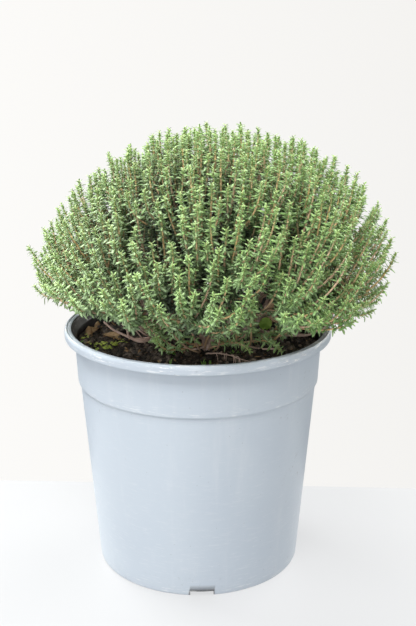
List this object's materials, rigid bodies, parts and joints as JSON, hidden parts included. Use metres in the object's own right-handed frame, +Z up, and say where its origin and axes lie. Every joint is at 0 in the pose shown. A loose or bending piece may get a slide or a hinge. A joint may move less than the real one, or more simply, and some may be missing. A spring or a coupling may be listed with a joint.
{
  "type": "potted thyme",
  "caption": "Round tapered plant pot with a rolled rim, a raised floor with drain holes and a notched foot, filled with potting soil in which a dome-shaped bush of small-leaved thyme grows.",
  "frame": {"origin": "centre of the pot's foot, on the surface that the pot stands on", "axes": "+Z up along the pot's axis, -Y to the front, which the picture shows, +X to the right of that view"},
  "size_m": [0.2939, 0.2829, 0.3667],
  "materials": {
    "pot_plastic": "grey-blue injection-moulded plastic, satin, lightly scuffed",
    "potting_soil": null,
    "seedling_leaf": null,
    "dry_leaf": null,
    "thyme_wood": "grey-brown woody stem with fine peeling bark",
    "thyme_leaf": null
  },
  "bodies": {
    "root": {"pot": "pot_plastic", "soil": "potting_soil", "seedling": "seedling_leaf", "dry_leaf_left": "dry_leaf", "dry_leaf_rim": "dry_leaf", "woody_base_1": "thyme_wood", "woody_base_2": "thyme_wood", "woody_base_3": "thyme_wood", "woody_base_4": "thyme_wood", "leafy_stem_01": "thyme_leaf", "leafy_stem_02": "thyme_leaf", "leafy_stem_03": "thyme_leaf", "leafy_stem_04": "thyme_leaf", "leafy_stem_05": "thyme_leaf", "leafy_stem_06": "thyme_leaf", "leafy_stem_07": "thyme_leaf", "leafy_stem_08": "thyme_leaf", "leafy_stem_09": "thyme_leaf", "leafy_stem_10": "thyme_leaf", "leafy_stem_11": "thyme_leaf", "leafy_stem_12": "thyme_leaf", "leafy_stem_13": "thyme_leaf", "leafy_stem_14": "thyme_leaf", "leafy_stem_15": "thyme_leaf", "leafy_stem_16": "thyme_leaf", "leafy_stem_17": "thyme_leaf", "leafy_stem_18": "thyme_leaf", "leafy_stem_19": "thyme_leaf", "leafy_stem_20": "thyme_leaf", "leafy_stem_21": "thyme_leaf", "leafy_stem_22": "thyme_leaf", "leafy_stem_23": "thyme_leaf", "leafy_stem_24": "thyme_leaf", "leafy_stem_25": "thyme_leaf", "leafy_stem_26": "thyme_leaf", "leafy_stem_27": "thyme_leaf", "leafy_stem_28": "thyme_leaf", "leafy_stem_29": "thyme_leaf", "leafy_stem_30": "thyme_leaf", "leafy_stem_31": "thyme_leaf", "leafy_stem_32": "thyme_leaf", "leafy_stem_33": "thyme_leaf", "leafy_stem_34": "thyme_leaf", "leafy_stem_35": "thyme_leaf", "leafy_stem_36": "thyme_leaf", "leafy_stem_37": "thyme_leaf", "leafy_stem_38": "thyme_leaf", "leafy_stem_39": "thyme_leaf", "leafy_stem_40": "thyme_leaf", "leafy_stem_41": "thyme_leaf", "leafy_stem_42": "thyme_leaf", "leafy_stem_43": "thyme_leaf"}
  },
  "joints": []
}
